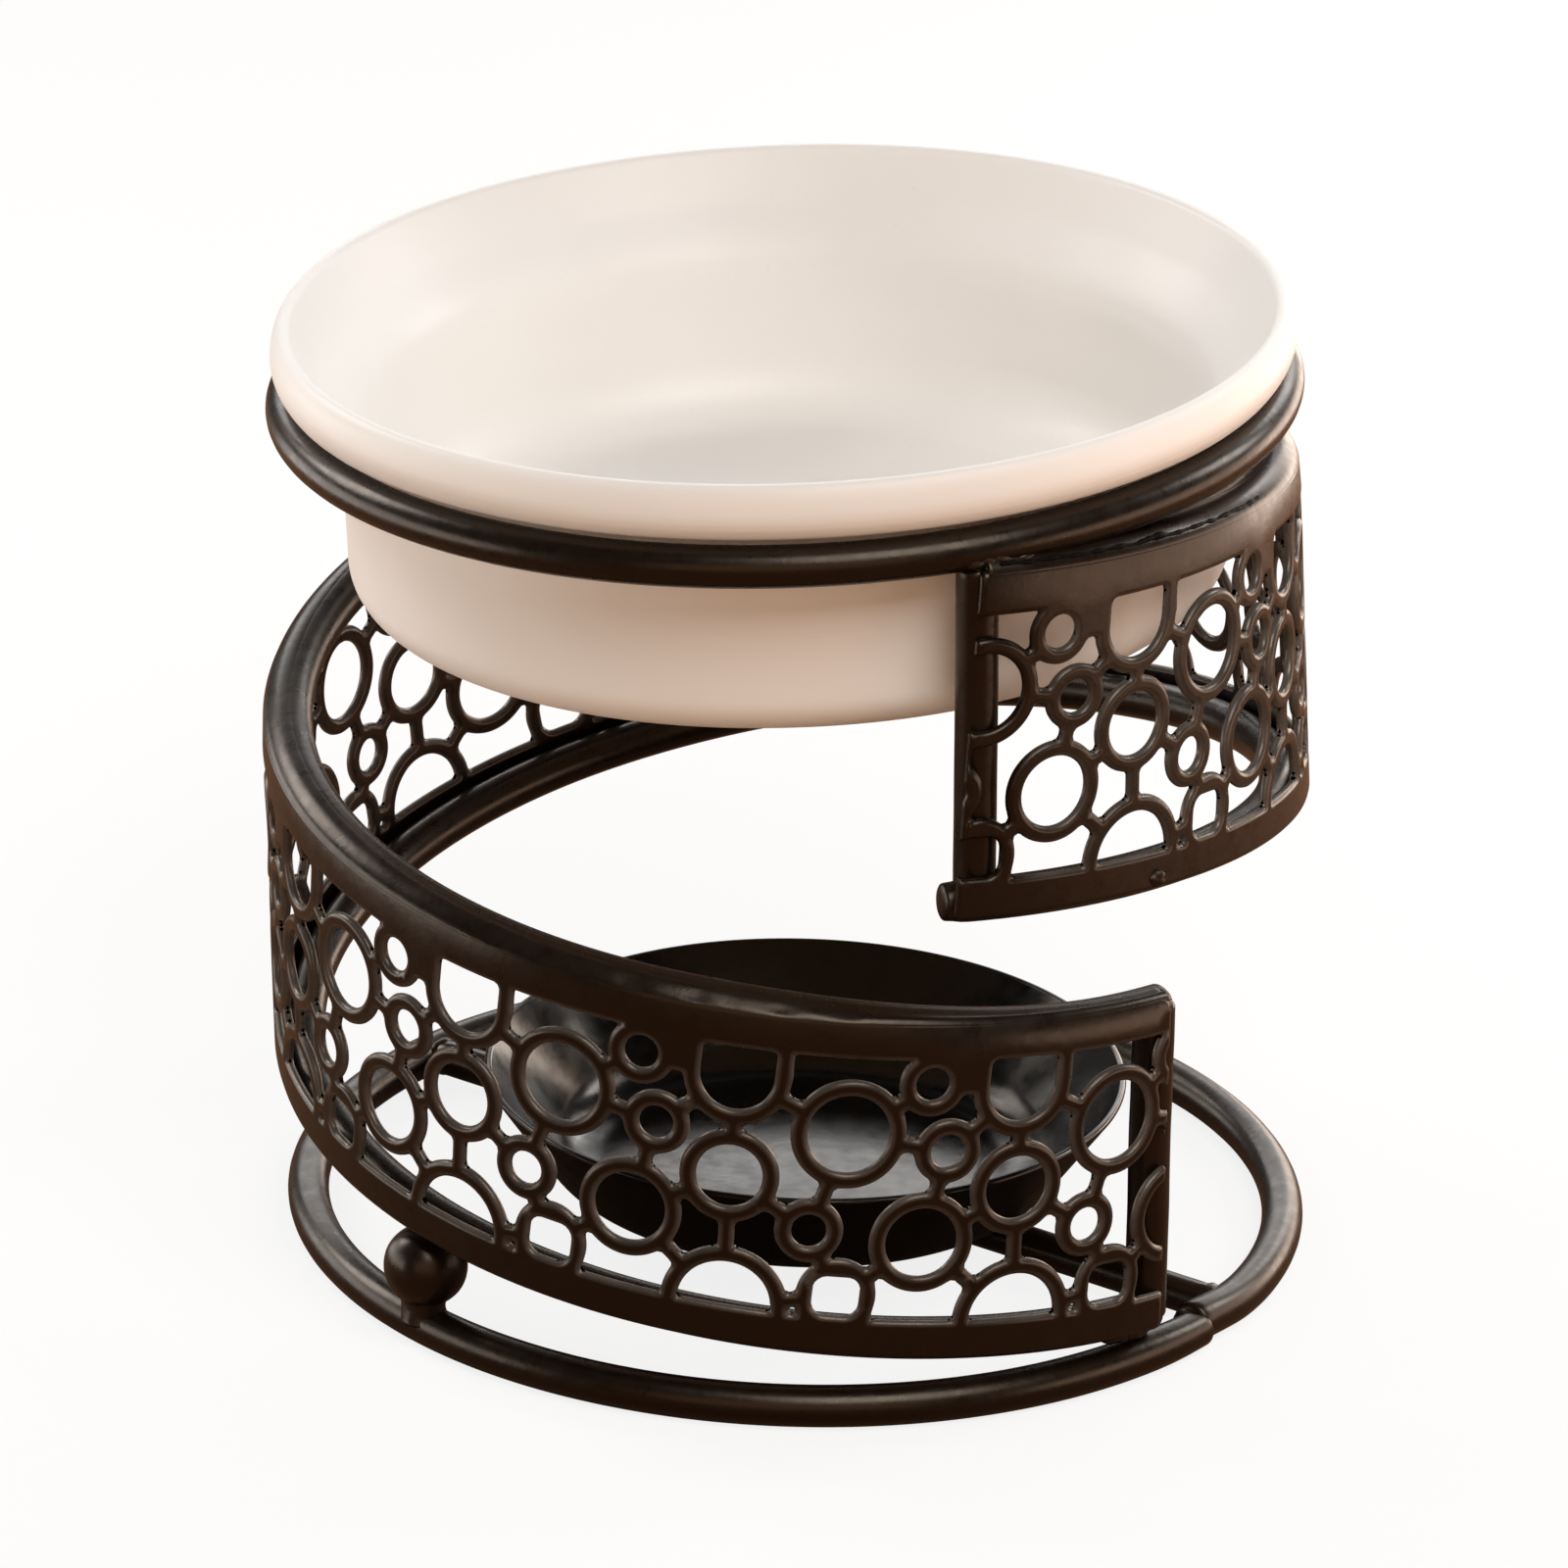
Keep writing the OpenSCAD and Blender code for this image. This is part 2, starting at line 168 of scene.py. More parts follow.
def ring_tube(radius, wire, wobble, seed, rings=220, sides=28):
    """A closed wire ring about Z at height 0."""
    turn = np.arange(rings) * 2 * math.pi / rings
    around = np.arange(sides) * 2 * math.pi / sides
    r = (radius + wobble * waves(turn, seed, 2))[:, None] + wire * np.cos(around)
    z = (wobble * waves(turn, seed + 1, 2))[:, None] + wire * np.sin(around)
    points = np.stack([r * np.cos(turn)[:, None], r * np.sin(turn)[:, None], z], -1).reshape(-1, 3)
    return points, quads(rings, sides, rows_close=True, flip=True)


def lathe(profile, segments, wave=None):
    """Turns an outline (r, z) about Z; its first and last points lie on the axis, wave shifts the others."""
    profile = np.asarray(profile, float)
    turn = np.arange(segments) * 2 * math.pi / segments
    inner = profile[1:-1]
    r = np.repeat(inner[:, 0][None, :], segments, 0)
    z = np.repeat(inner[:, 1][None, :], segments, 0)
    if wave is not None:
        r_shift, z_shift = wave(turn[:, None], r, z)
        r, z = r + r_shift, z + z_shift
    points = np.stack([r * np.cos(turn)[:, None], r * np.sin(turn)[:, None], z], -1).reshape(-1, 3)
    count = len(inner)
    faces = quads(segments, count, rows_close=True, columns_close=False, flip=True)
    first, last = len(points), len(points) + 1
    for i in range(segments):
        here, there = i * count, (i + 1) % segments * count
        faces.append((first, there, here))
        faces.append((last, here + count - 1, there + count - 1))
    return np.vstack([points, [0, 0, profile[0, 1]], [0, 0, profile[-1, 1]]]), faces


def smooth_line(points, steps):
    """Catmull-Rom curve through points, with a number of steps from each to the next."""
    p = np.asarray(points, float)
    p = np.concatenate([[2 * p[0] - p[1]], p, [2 * p[-1] - p[-2]]])
    out = []
    for a, b, c, d in zip(p, p[1:], p[2:], p[3:]):
        for t in np.arange(steps) / steps:
            out.append(0.5 * (2 * b + (c - a) * t + (2 * a - 5 * b + 4 * c - d) * t * t
                              + (3 * b - 3 * c + d - a) * t ** 3))
    out.append(p[-2])
    return np.array(out)


def arc(centre, r, start, end, steps):
    """Points of an arc between two angles in degrees."""
    f = np.radians(np.linspace(start, end, steps + 1))
    return np.stack([centre[0] + r * np.cos(f), centre[1] + r * np.sin(f)], -1)


def leaned(points, origin, lean):
    """Leans points to -X about Y and moves them."""
    p = np.asarray(points, float)
    x = p[:, 0] * math.cos(lean) - p[:, 2] * math.sin(lean)
    z = p[:, 0] * math.sin(lean) + p[:, 2] * math.cos(lean)
    return np.stack([x + origin[0], p[:, 1] + origin[1], z + origin[2]], -1)


def blob(centre, radii, seed, axis_x=(1, 0, 0), rough=0.12, rings=14, sides=22):
    """A lumpy bead with its first radius along axis_x and its last one upwards."""
    x = np.array(Vector(axis_x).normalized())
    z = np.array([0.0, 0.0, 1.0])
    z = z - x * (z @ x)
    z /= np.linalg.norm(z)
    y = np.cross(z, x)
    phase = np.random.default_rng(seed).uniform(0, 6.28, 3)
    tilt = math.pi * np.arange(1, rings)[:, None] / rings
    turn = 2 * math.pi * np.arange(sides) / sides
    u, v, w = np.sin(tilt) * np.cos(turn), np.sin(tilt) * np.sin(turn), np.cos(tilt) + 0 * turn
    lump = 1 + rough * (np.sin(3 * u + phase[0]) * np.sin(4 * v + phase[1])
                        + 0.6 * np.sin(6 * w + phase[2] + 3 * u))
    reach = np.stack([u, v, w], -1) * lump[:, :, None] * np.asarray(radii)
    points = centre + reach.reshape(-1, 3) @ np.array([x, y, z])
    faces = quads(rings - 1, sides, flip=True)
    start, top, bottom = len(points) - sides, len(points), len(points) + 1
    for k in range(sides):
        m = (k + 1) % sides
        faces.append((top, k, m))
        faces.append((bottom, start + m, start + k))
    return np.vstack([points, centre + z * radii[2], centre - z * radii[2]]), faces


def joined(parts):
    """Several shapes as one."""
    points, faces, base = [], [], 0
    for part_points, part_faces in parts:
        points.append(np.asarray(part_points))
        faces += [tuple(i + base for i in face) for face in part_faces]
        base += len(part_points)
    return np.vstack(points), faces


# Places along the strip

def rise(t):
    """Height of the strip's bottom edge, t from 0 to 1 along it."""
    return (LOW + RISE * (3 * t ** 2 - 2 * t ** 3) + CLIMB_START * (t ** 3 - 2 * t ** 2 + t)
            + CLIMB_END * (t ** 3 - t ** 2))


def slope(t):
    """Angle of that edge to the level."""
    climb = (RISE * (6 * t - 6 * t ** 2) + CLIMB_START * (3 * t ** 2 - 4 * t + 1)
             + CLIMB_END * (3 * t ** 2 - 2 * t))
    return np.arctan(climb / TURN_LEN)


def lean_in(turn, v):
    """The strip's top is pulled in a little on the right-hand side, under the bowl ring."""
    return -1.2 * np.clip(v / STRIP_H, 0, 1) * np.exp(-((turn - 318) / 38) ** 2)


def curl(turn, v):
    """How far the sheet's top edge rolls in over its wire, most at the lower end."""
    most = 0.35 + 0.75 * (1 - ease(turn, 12, 40))
    return most * np.clip((v - STRIP_H + 2.4) / 2.4, 0, 1) ** 2


def beside_strip(turn, r, v):
    """Point at a turn in degrees from the lower end, a radius, and a height over the bottom edge."""
    turn = np.asarray(turn, float)
    angle = -np.radians(START + turn)
    r = r + lean_in(turn, v)
    p = np.stack([r * np.cos(angle), r * np.sin(angle), rise(turn / SWEEP) + v], -1)
    return leaned(p, SPIRAL, LEAN)


def strip_frame(turn):
    """Unit vectors that point out of the strip, and up across it, at each turn."""
    angle = -np.radians(START + turn)
    s = slope(turn / SWEEP)
    out = np.stack([np.cos(angle), np.sin(angle), 0 * angle], -1)
    up = np.stack([-np.sin(s) * np.sin(angle), np.sin(s) * np.cos(angle), np.cos(s)], -1)
    return leaned(out, (0, 0, 0), LEAN), leaned(up, (0, 0, 0), LEAN)


def sheet_turn(a, b):
    """Turn of a point of the flat sheet, a along and b up."""
    t = a / SHEET_LEN
    return t * SWEEP - np.degrees((b - SHEET_W / 2) * np.sin(slope(t)) / STRIP_R)


def on_sheet(a, b, r):
    """Point of the flat sheet, rolled to radius r."""
    t = a / SHEET_LEN
    turn = sheet_turn(a, b)
    angle = -np.radians(START + turn)
    h = rise(t) + STRIP_H / 2 + (b - SHEET_W / 2) * np.cos(slope(t))
    r = r + lean_in(turn, b) - curl(turn, b * STRIP_H / SHEET_W)
    return leaned(np.stack([r * np.cos(angle), r * np.sin(angle), h], -1), SPIRAL, LEAN)


# Materials

def node(tree, kind, sockets=None, **settings):
    """Adds a shader node with its own settings and the constants on its sockets."""
    n = tree.nodes.new(kind)
    for key, value in settings.items():
        setattr(n, key, value)
    for key, value in (sockets or {}).items():
        n.inputs[key].default_value = value
    return n


def noise(tree, coords, scale, detail=3.0, rough=0.55):
    """Cloudy noise from 0 to 1."""
    n = node(tree, "ShaderNodeTexNoise", {"Scale": scale, "Detail": detail, "Roughness": rough})
    tree.links.new(coords, n.inputs["Vector"])
    return n.outputs["Fac"]


def ramp(tree, value, low, high, to_low, to_high, **settings):
    """Maps a value from one range to another."""
    sockets = {"From Min": low, "From Max": high, "To Min": to_low, "To Max": to_high}
    n = node(tree, "ShaderNodeMapRange", sockets, **settings)
    tree.links.new(value, n.inputs["Value"])
    return n.outputs["Result"]


def maths(tree, operation, a, b):
    """Works out one value from two, of which the second may be a number."""
    n = node(tree, "ShaderNodeMath", operation=operation)
    tree.links.new(a, n.inputs[0])
    if isinstance(b, float):
        n.inputs[1].default_value = b
    else:
        tree.links.new(b, n.inputs[1])
    return n.outputs[0]


def mix_colour(tree, factor, a, b):
    """Mixes two colours, each a constant or the output of a node."""
    n = node(tree, "ShaderNodeMix", data_type="RGBA")
    tree.links.new(factor, n.inputs[0])
    # sockets 6 and 7 and output 2 are the ones for colours
    for socket, value in ((n.inputs[6], a), (n.inputs[7], b)):
        if isinstance(value, tuple):
            socket.default_value = (*value, 1.0)
        else:
            tree.links.new(value, socket)
    return n.outputs[2]


def bump(tree, shader, height, strength, distance):
    """Makes a shader's surface uneven."""
    n = node(tree, "ShaderNodeBump", {"Strength": strength, "Distance": distance})
    tree.links.new(height, n.inputs["Height"])
    tree.links.new(n.outputs["Normal"], shader.inputs["Normal"])


def new_material(name):
    """A material with its node tree and main shader."""
    material = bpy.data.materials.new(name)
    material.use_nodes = True
    return material, material.node_tree, material.node_tree.nodes["Principled BSDF"]


def paint(name, dark, light, rough, peel=0.12, shine=0.42, tint=(1.0, 0.82, 0.66)):
    """Satin paint on metal: mottled colour, orange peel, rubbed through to the metal where 'edge' is high."""
    material, tree, shader = new_material(name)
    coords = node(tree, "ShaderNodeTexCoord").outputs["Object"]
    cloud = noise(tree, coords, 45.0, 4.0)
    fine = noise(tree, coords, 420.0, 3.0)
    edge = node(tree, "ShaderNodeAttribute", attribute_name="edge").outputs["Fac"]
    patchy = ramp(tree, noise(tree, coords, 150.0, 4.0), 0.3, 0.6, 0.5, 1.0)
    rubbed = maths(tree, "MULTIPLY", edge, patchy)
    colour = mix_colour(tree, ramp(tree, cloud, 0.3, 0.7, 0.0, 1.0), dark, light)
    colour = mix_colour(tree, ramp(tree, rubbed, 0.0, 1.0, 0.0, 0.25), colour, (0.5, 0.46, 0.42))
    tree.links.new(colour, shader.inputs["Base Color"])
    tree.links.new(ramp(tree, rubbed, 0.0, 1.0, 0.0, 0.4), shader.inputs["Metallic"])
    tree.links.new(ramp(tree, fine, 0.3, 0.7, rough - 0.05, rough + 0.05), shader.inputs["Roughness"])
    shader.inputs["Specular IOR Level"].default_value = shine
    shader.inputs["Specular Tint"].default_value = (*tint, 1.0)
    bump(tree, shader, noise(tree, coords, 900.0, 2.0), peel, 0.0002)
    return material


def glaze(name):
    """Soft warm white glaze with faint pooling and pin speckles."""
    material, tree, shader = new_material(name)
    coords = node(tree, "ShaderNodeTexCoord").outputs["Object"]
    pools = ramp(tree, noise(tree, coords, 22.0, 3.0), 0.3, 0.7, 0.0, 1.0)
    specks = ramp(tree, noise(tree, coords, 900.0, 1.0, 0.3), 0.76, 0.82, 0.0, 0.1)
    colour = mix_colour(tree, pools, (0.85, 0.825, 0.79), (0.88, 0.86, 0.83))
    colour = mix_colour(tree, specks, colour, (0.66, 0.6, 0.52))
    tree.links.new(colour, shader.inputs["Base Color"])
    rough = ramp(tree, noise(tree, coords, 60.0, 2.0), 0.3, 0.7, 0.42, 0.5)
    tree.links.new(rough, shader.inputs["Roughness"])
    bump(tree, shader, noise(tree, coords, 70.0, 2.0), 0.05, 0.0004)
    return material


BROWN = paint("satin_brown_paint", (0.004, 0.002, 0.001), (0.0065, 0.0034, 0.0018), 0.3)
WELD = paint("painted_weld", (0.007, 0.0038, 0.0025), (0.012, 0.0065, 0.0042), 0.38, peel=0.35)
BLACK = paint("satin_black_paint", (0.0016, 0.0015, 0.0011), (0.0026, 0.0025, 0.002), 0.18,
              peel=0.04, shine=0.36, tint=(1, 0.9, 0.78))
# dull black paint used only as painted shade: on the tube in the seam's crack and on the dish's down-facing
# faces
SHADE_BLACK = paint("shade_black_paint", (0.0025, 0.0022, 0.0018), (0.004, 0.0036, 0.003), 0.5,
                   shine=0.06, tint=(1, 1, 1))
GLAZE = glaze("white_glaze")


# Filigree: rings as (along, up, radius of the hole) in one cell of the flat sheet

LARGE, TOP_SMALL, MID_SMALL = (0.0, 28.0, 4.85), (-9.3, 34.6, 2.05), (-12.1, 26.2, 2.05)
HANGING, MIDDLE, LOWER = (-20.85, 34.0, 4.4), (-21.4, 21.2, 3.9), (-10.2, 14.7, 4.3)
LOW_SMALL, DOME, FOOT = (3.25, 15.5, 2.05), (-22.6, BORDER_LOW, 5.5), (-0.85, 7.6, 2.7)
ROUND_HOLES = (LARGE, TOP_SMALL, MID_SMALL, MIDDLE, LOWER, LOW_SMALL)
RINGS = (LARGE, TOP_SMALL, MID_SMALL, HANGING, MIDDLE, LOWER, LOW_SMALL, DOME, FOOT)
# Struts between rings, the last number counts the cells to the second ring
STRUTS = [(LARGE, TOP_SMALL, 0), (LARGE, MID_SMALL, 0), (LARGE, HANGING, 1), (TOP_SMALL, HANGING, 0),
          (MID_SMALL, HANGING, 0), (MID_SMALL, LOWER, 0), (HANGING, MIDDLE, 0), (LOW_SMALL, MIDDLE, 1),
          (MIDDLE, DOME, 0), (MIDDLE, LOWER, 0), (LOWER, DOME, 0), (LOWER, FOOT, 0), (LOW_SMALL, FOOT, 0),
          (LARGE, LOW_SMALL, 0), (FOOT, DOME, 1)]
RING_WALL, STRUT = 2.0, 0.95        # width of a ring's wall, half the width of a strut
TOP_EDGE = SHEET_W - BORDER_TOP
ROUND_EDGE = 0.75                   # width of the rounding along the filigree's edges
GRID, SPACING = 0.4, 0.55           # step for tracing the outline, and between the points kept of it


def soft_min(a, b, k):
    """Lesser of two distances, with a fillet of about size k between them."""
    h = np.clip(0.5 + 0.5 * (b - a) / k, 0, 1)
    return b * (1 - h) + a * h - k * h * (1 - h)


def soft_max(a, b, k):
    """Greater of two distances, with a fillet of about size k between them."""
    return -soft_min(-a, -b, k)


def round_box(a, b, half_a, half_b, r):
    """Distance to a box about the origin with round corners."""
    qa, qb = np.abs(a) - half_a + r, np.abs(b) - half_b + r
    return np.hypot(np.maximum(qa, 0), np.maximum(qb, 0)) + np.minimum(np.maximum(qa, qb), 0) - r


def capsule(a, b, p, q, r):
    """Distance to a round-ended bar from p to q."""
    d = np.array(q[:2]) - np.array(p[:2])
    t = np.clip(((a - p[0]) * d[0] + (b - p[1]) * d[1]) / (d @ d), 0, 1)
    return np.hypot(a - p[0] - t * d[0], b - p[1] - t * d[1]) - r


def drift(a, b):
    """How far the pressed pattern strays along and up the sheet, at the back left and near the upper end."""
    last = ease(a, SHEET_LEN - 55, SHEET_LEN - 10)
    along = 1.1 * np.exp(-((a - 175) / 35) ** 2) + 0.65 * ease(a, SHEET_LEN - 120, SHEET_LEN - 30)
    along = along + 0.55 * last * np.clip((b - 12) / 25, 0, 1)
    return along, 0.6 * last * np.clip((b - 16) / 18, 0, 1)


def pattern(a, b):
    """Distance to the outline of the endless pattern, negative in the metal."""
    x = np.mod(a - FIRST + CELL * 0.75, CELL) - CELL * 0.75
    solid = soft_min(b - BORDER_LOW, TOP_EDGE - b, 0.1)
    holes = np.full_like(solid, 1e3)
    for shift in (-CELL, 0.0, CELL):
        u = x - shift
        for c in RINGS:
            solid = soft_min(solid, np.hypot(u - c[0], b - c[1]) - c[2] - RING_WALL, 0.7)
        for p, q, step in STRUTS:
            solid = soft_min(solid, capsule(u, b, p, (q[0] + step * CELL, q[1]), STRUT), 0.7)
        solid = soft_min(solid, round_box(u - HANGING[0], b - 37.0, HANGING[2] + RING_WALL, 3.0, 0.3), 0.5)
        solid = soft_min(solid, round_box(u - FOOT[0], b - 5.5, 4.4, 2.1, 0.3), 0.5)
        web = np.maximum(np.maximum(33.4 - b, HANGING[0] - u), u - TOP_SMALL[0])
        solid = soft_min(solid, web, 0.5)
        for c in ROUND_HOLES:
            holes = np.minimum(holes, np.hypot(u - c[0], b - c[1]) - c[2])
        hanging = np.minimum(np.hypot(u - HANGING[0], b - HANGING[1]) - HANGING[2],
                             round_box(u - HANGING[0], b - 35.5, HANGING[2], 2.0, 0.8))
        holes = np.minimum(holes, np.maximum(hanging, b - TOP_EDGE))
        dome = soft_max(np.hypot(u - DOME[0], b - DOME[1]) - DOME[2], BORDER_LOW - b, 0.5)
        holes = np.minimum(holes, dome)
        holes = np.minimum(holes, round_box(u - FOOT[0], b - 7.45, 2.75, 2.45, 1.6))
    return soft_max(solid, -holes, 0.15)


def blank(a, b):
    """Distance to the outline of the plain sheet with its slanting ends."""
    turn = sheet_turn(a, b)
    degree = math.radians(1) * STRIP_R
    low_end = (LOWER_END[0] + (LOWER_END[1] - LOWER_END[0]) * b / SHEET_W - turn) * degree
    high_end = (turn - UPPER_END[0] - (UPPER_END[1] - UPPER_END[0]) * b / SHEET_W) * degree
    edges = np.maximum(-b, b - SHEET_W)
    return soft_max(soft_max(edges, low_end, 1.0), high_end, 0.6)


def filigree(a, b):
    """Distance to the outline of the pierced sheet, negative in the metal."""
    along, up = drift(a, b)
    return soft_max(pattern(a + along, b + up), blank(a, b), 0.15)


def outline_loops(grid, a0, b0, level):
    """Closed loops where the grid crosses a level, by marching squares."""
    f = grid - level
    inside = f < 0

    def cross(i, j, way):
        v0, v1 = f[i, j], (f[i + 1, j] if way == 0 else f[i, j + 1])
        t = v0 / (v0 - v1)
        return (a0 + (i + (t if way == 0 else 0)) * GRID, b0 + (j + (t if way == 1 else 0)) * GRID)

    code = (inside[:-1, :-1] * 1 + inside[1:, :-1] * 2 + inside[1:, 1:] * 4 + inside[:-1, 1:] * 8)
    # sides of a square that the outline goes in and out by, for each set of corners inside
    sides = {1: ((3, 0),), 2: ((0, 1),), 3: ((3, 1),), 4: ((1, 2),), 5: ((3, 0), (1, 2)), 6: ((0, 2),),
             7: ((3, 2),), 8: ((2, 3),), 9: ((2, 0),), 10: ((0, 1), (2, 3)), 11: ((2, 1),), 12: ((1, 3),),
             13: ((1, 0),), 14: ((0, 3),)}
    links = {}
    for i, j in np.argwhere((code > 0) & (code < 15)):
        keys = ((i, j, 0), (i + 1, j, 1), (i, j + 1, 0), (i, j, 1))
        for s, e in sides[int(code[i, j])]:
            links.setdefault(keys[s], []).append(keys[e])
    loops = []
    while links:
        key, loop = next(iter(links)), []
        while key in links:
            loop.append(cross(*key))
            following = links[key].pop()
            if not links[key]:
                del links[key]
            key = following
        loops.append(np.array(loop))
    return loops


def even_loop(loop):
    """A closed loop with its points evenly spaced."""
    closed = np.vstack([loop, loop[:1]])
    run = np.r_[0, np.cumsum(np.hypot(*np.diff(closed, axis=0).T))]
    count = max(10, int(round(run[-1] / SPACING)))
    at = np.arange(count) * run[-1] / count
    return np.stack([np.interp(at, run, closed[:, 0]), np.interp(at, run, closed[:, 1])], -1)


def settle(points, level):
    """Moves points on to the exact level of the pattern."""
    e = 1e-3
    for _ in range(2):
        a, b = points[:, 0], points[:, 1]
        f = filigree(a, b) - level
        ga = (filigree(a + e, b) - filigree(a - e, b)) / (2 * e)
        gb = (filigree(a, b + e) - filigree(a, b - e)) / (2 * e)
        g = np.maximum(ga ** 2 + gb ** 2, 0.2)
        step = np.clip(f / g, -0.15, 0.15)
        points = points - np.stack([step * ga, step * gb], -1)
    return points


def traced():
    """Points on the outline and on lines beside it that make its rounding, their links and their depths."""
    a0, b0 = -6.0, -1.0
    a = a0 + np.arange(int((SHEET_LEN - 2 * a0) / GRID)) * GRID
    b = b0 + np.arange(int((SHEET_W - 2 * b0) / GRID) + 1) * GRID
    grid = filigree(*np.meshgrid(a, b, indexing="ij"))
    flat, links, depth = [], [], []
    for d in (0.0, 0.08, 0.3, ROUND_EDGE):
        for loop in outline_loops(grid, a0, b0, -d):
            if len(loop) < 6:
                continue
            p = even_loop(loop)
            n = len(depth)
            flat.append(p)
            depth += [d] * len(p)
            links += [(n + i, n + (i + 1) % len(p)) for i in range(len(p))]
    depth = np.array(depth)
    return settle(np.vstack(flat), -depth), links, depth


def flat_sheet():
    """The flat filigree: points, their depths inside the outline, and triangles that turn left."""
    flat, links, depth = traced()
    out = delaunay_2d_cdt([Vector(q) for q in flat.tolist()], links, [], 0, 1e-6)
    xy = np.array([tuple(v) for v in out[0]])
    tris = np.array([f for f in out[2] if len(f) == 3])
    mids = xy[tris].mean(1)
    tris = tris[filigree(mids[:, 0], mids[:, 1]) < -0.01]
    came = np.array([min(o) if o else -1 for o in out[3]])
    depth = np.where(came >= 0, depth[np.maximum(came, 0)], ROUND_EDGE)
    used = np.unique(tris)
    keep = -np.ones(len(xy), int)
    keep[used] = np.arange(len(used))
    xy, depth, tris = xy[used], depth[used], keep[tris]
    e1, e2 = xy[tris[:, 1]] - xy[tris[:, 0]], xy[tris[:, 2]] - xy[tris[:, 0]]
    wrong = e1[:, 0] * e2[:, 1] - e1[:, 1] * e2[:, 0] < 0
    tris[wrong] = tris[wrong][:, ::-1]
    return xy, depth, tris


def rounding(depth):
    """How far the sheet's surface has turned towards the hole: 0 on the flat, 1 at the outline."""
    return np.clip(1 - depth / ROUND_EDGE, 0, 1)


def sheet_normals(a, b, depth, side):
    """Normals of the rolled sheet, turned towards the nearest hole where the edge is rounded off."""
    e = 1e-3
    ga = filigree(a + e, b) - filigree(a - e, b)
    gb = filigree(a, b + e) - filigree(a, b - e)
    steep = np.maximum(np.hypot(ga, gb), 1e-9)
    f = rounding(depth)
    middle = STRIP_R - STRIP_T / 2
    along = (on_sheet(a + e, b, middle) - on_sheet(a - e, b, middle)) / (2 * e)
    up = (on_sheet(a, b + e, middle) - on_sheet(a, b - e, middle)) / (2 * e)
    out = np.cross(up, along)
    shares = (f * ga / steep, f * gb / steep, side * np.sqrt(1 - f * f))
    return sum(share[:, None] * way for share, way in zip(shares, (along, up, out)))


def hole_edge(a, b, depth):
    """How much the paint is rubbed at a point: at the holes' edges, not along the sheet's own edges."""
    inner = ease(np.minimum(b, SHEET_W - b), 1.0, 2.5) * (1 - ease(a, SHEET_LEN - 14, SHEET_LEN - 8))
    return np.clip(1 - depth / 0.5, 0, 1) * inner


def strip_mesh():
    """The rolled filigree: points, faces, normals and wear. Both faces share the points on the outline."""
    xy, depth, tris = flat_sheet()
    count = len(xy)
    inner = depth >= 1e-9
    back = np.arange(count)
    back[inner] = count + np.arange(inner.sum())
    a, b = np.vstack([xy, xy[inner]]).T
    depth = np.r_[depth, depth[inner]]
    side = np.r_[np.ones(count), -np.ones(len(a) - count)]
    proud = side * (STRIP_T / 2 * np.sqrt(1 - rounding(depth) ** 2))
    points = on_sheet(a, b, STRIP_R - STRIP_T / 2 + proud)
    # along the sheet runs against the usual turn, so the outer face takes the triangles turned round
    faces = np.vstack([tris[:, ::-1], back[tris]])
    return points, faces, sheet_normals(a, b, depth, side), hole_edge(a, b, depth)


strip_points, strip_faces, strip_normals, strip_edge = strip_mesh()
piece("filigree_sheet", strip_points, strip_faces, BROWN, stands_for=("filigree_strip",),
      normals=strip_normals, edge=strip_edge)


# Wires along the strip's edges, end posts

def top_wire_height(turn):
    """The top wire hides behind the sheet at the lower end and stands a little over it further on."""
    return EDGE_HIGH - 1.2 + 1.7 * ease(turn, 4, 55)


def edge_wire(ends, height, seed, tips):
    """Wire along the inside of the strip; height gives its middle over the bottom edge at a turn."""
    turn = np.linspace(*ends, 420)
    x = np.radians(turn)
    r = EDGE_R - 0.06 + 0.05 * waves(x, seed, 3)
    v = height(turn) + 0.06 * waves(x, seed + 7, 3)
    cut = 1 - 0.12 * ease(turn, ends[1] - 2.5, ends[1])
    return tube(beside_strip(turn, r, v), *strip_frame(turn), WIRE * cut, sides=32, tips=tips)


def post(turns, seed):
    """Upright wire between the edge wires; its head lies a little further back than its foot."""
    foot = beside_strip([turns[0]], EDGE_R, EDGE_LOW)[0]
    head = beside_strip([turns[1]], EDGE_R, float(top_wire_height(turns[1])))[0]
    up_way = (head - foot) / np.linalg.norm(head - foot)
    angle = -math.radians(START + turns[0])
    side = np.cross(up_way, leaned([[math.cos(angle), math.sin(angle), 0]], (0, 0, 0), LEAN)[0])
    side /= np.linalg.norm(side)
    across = np.cross(side, up_way)
    f = np.linspace(0, 1, 60)
    path = foot + f[:, None] * (head - foot) + 0.05 * waves(f * 7, seed)[:, None] * across
    return tube(path, np.repeat([across], 60, 0), np.repeat([side], 60, 0), WIRE - 0.02, tips=(0.4, 0.4))


top_wire = edge_wire(TOP_WIRE, top_wire_height, 11, (0.15, 0.3))
bottom_wire = edge_wire(BOTTOM_WIRE, lambda turn: EDGE_LOW, 23, (0.15, 0.25))
piece("top_edge_wire", *top_wire, BROWN, stands_for=("strip_top_wire",))
piece("bottom_edge_wire", *bottom_wire, BROWN, stands_for=("strip_bottom_wire",))
piece("lower_post", *post(LOWER_POST, 31), BROWN, stands_for=("lower_end_post",))
piece("upper_post", *post(UPPER_POST, 37), BROWN, stands_for=("upper_end_post",))


# Paint in the seam along the strip's top edge

def seam_height(turn):
    """Height of the seam between the sheet's top edge and its wire."""
    return STRIP_H + 0.25 * (top_wire_height(turn) + WIRE - STRIP_H)


